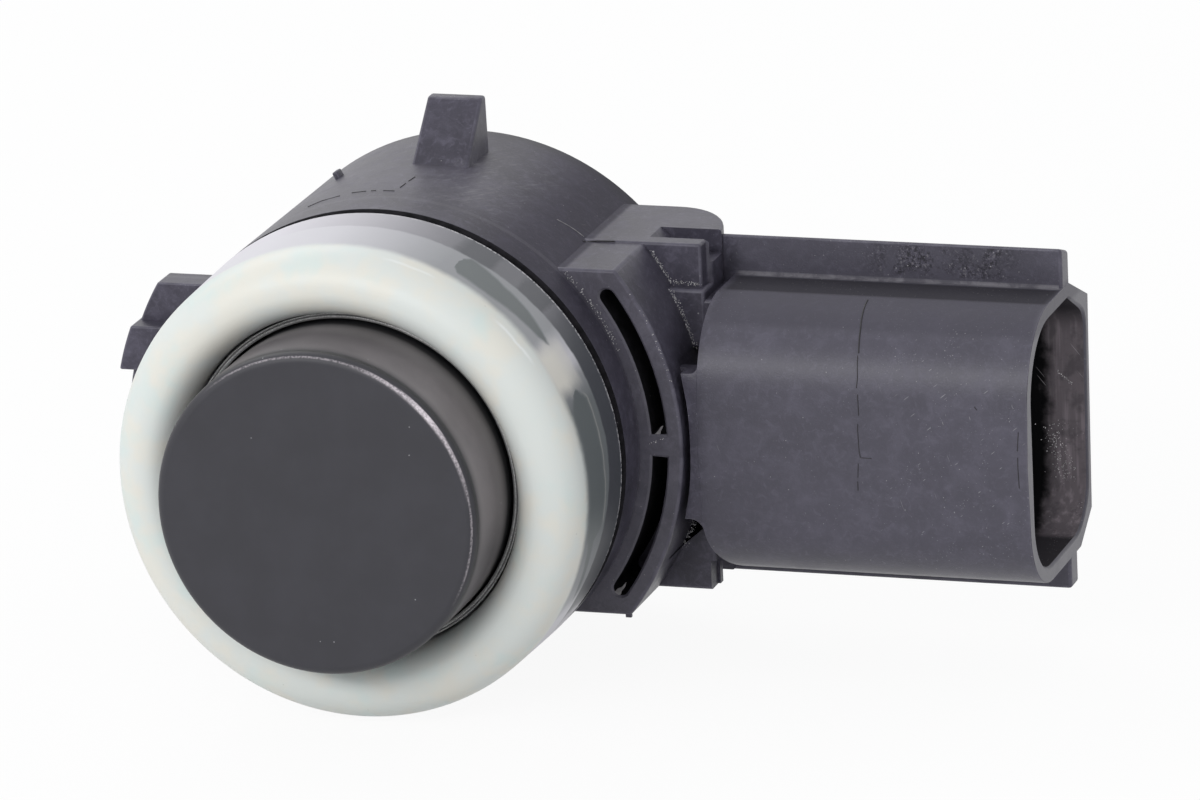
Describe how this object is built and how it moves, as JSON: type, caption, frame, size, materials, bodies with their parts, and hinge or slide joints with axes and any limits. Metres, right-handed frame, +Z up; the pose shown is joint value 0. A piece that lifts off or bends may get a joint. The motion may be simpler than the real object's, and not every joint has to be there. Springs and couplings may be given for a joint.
{
  "type": "parking sensor",
  "caption": "Ultrasonic bumper sensor: a raised round membrane cup in a soft ring on a drum housing with clip lugs, a slotted side bracket and a flat socket leading out sideways.",
  "frame": {"origin": "centre of the membrane's outer face", "axes": "-Y is the way the membrane looks, +X runs along the socket to its open mouth, +Z is up as mounted in the picture"},
  "size_m": [0.0439, 0.0248, 0.0258],
  "materials": {
    "housing": "fine matt moulded surface, dusty, with light scratches",
    "cup": "satin dark paint over aluminium",
    "ring": "milky, slightly translucent silicone, satin",
    "sleeve": "black soft rubber, satin",
    "cover": "plain matt moulding",
    "contact": "tinned contact metal",
    "lead": "bare copper wire",
    "piezo": "silvered piezo ceramic",
    "felt": "pressed felt",
    "damping": "cast damping silicone",
    "cushion": "soft silicone",
    "carrier": "natural moulded plastic",
    "board": "glass-fibre laminate with green lacquer",
    "chip": "moulding resin",
    "can": "drawn aluminium can",
    "crystal": "plated steel can",
    "ceramic": "fired ceramic body",
    "resistor": "dark coated ceramic",
    "ferrite": "sintered ferrite",
    "bobbin": "moulded coil former",
    "winding": "enamelled copper wire, wound"
  },
  "bodies": {
    "root": {"absorber_pad": "felt", "ceramic_capacitor_a": "ceramic", "ceramic_capacitor_b": "ceramic", "circuit_board": "board", "collar_sleeve": "sleeve", "contact_carrier": "carrier", "contact_pin_a": "contact", "contact_pin_b": "contact", "cup_cushion": "cushion", "damping_plug": "damping", "decoupling_ring": "ring", "driver_chip": "chip", "filter_capacitor": "can", "housing": "housing", "membrane_cup": "cup", "piezo_disc": "piezo", "piezo_lead_a": "lead", "piezo_lead_b": "lead", "rear_cover": "cover", "resistor_a": "resistor", "resistor_b": "resistor", "terminal_a": "contact", "terminal_b": "contact", "terminal_c": "contact", "timing_crystal": "crystal", "transformer_bobbin": "bobbin", "transformer_core": "ferrite", "transformer_winding": "winding"}
  },
  "joints": []
}
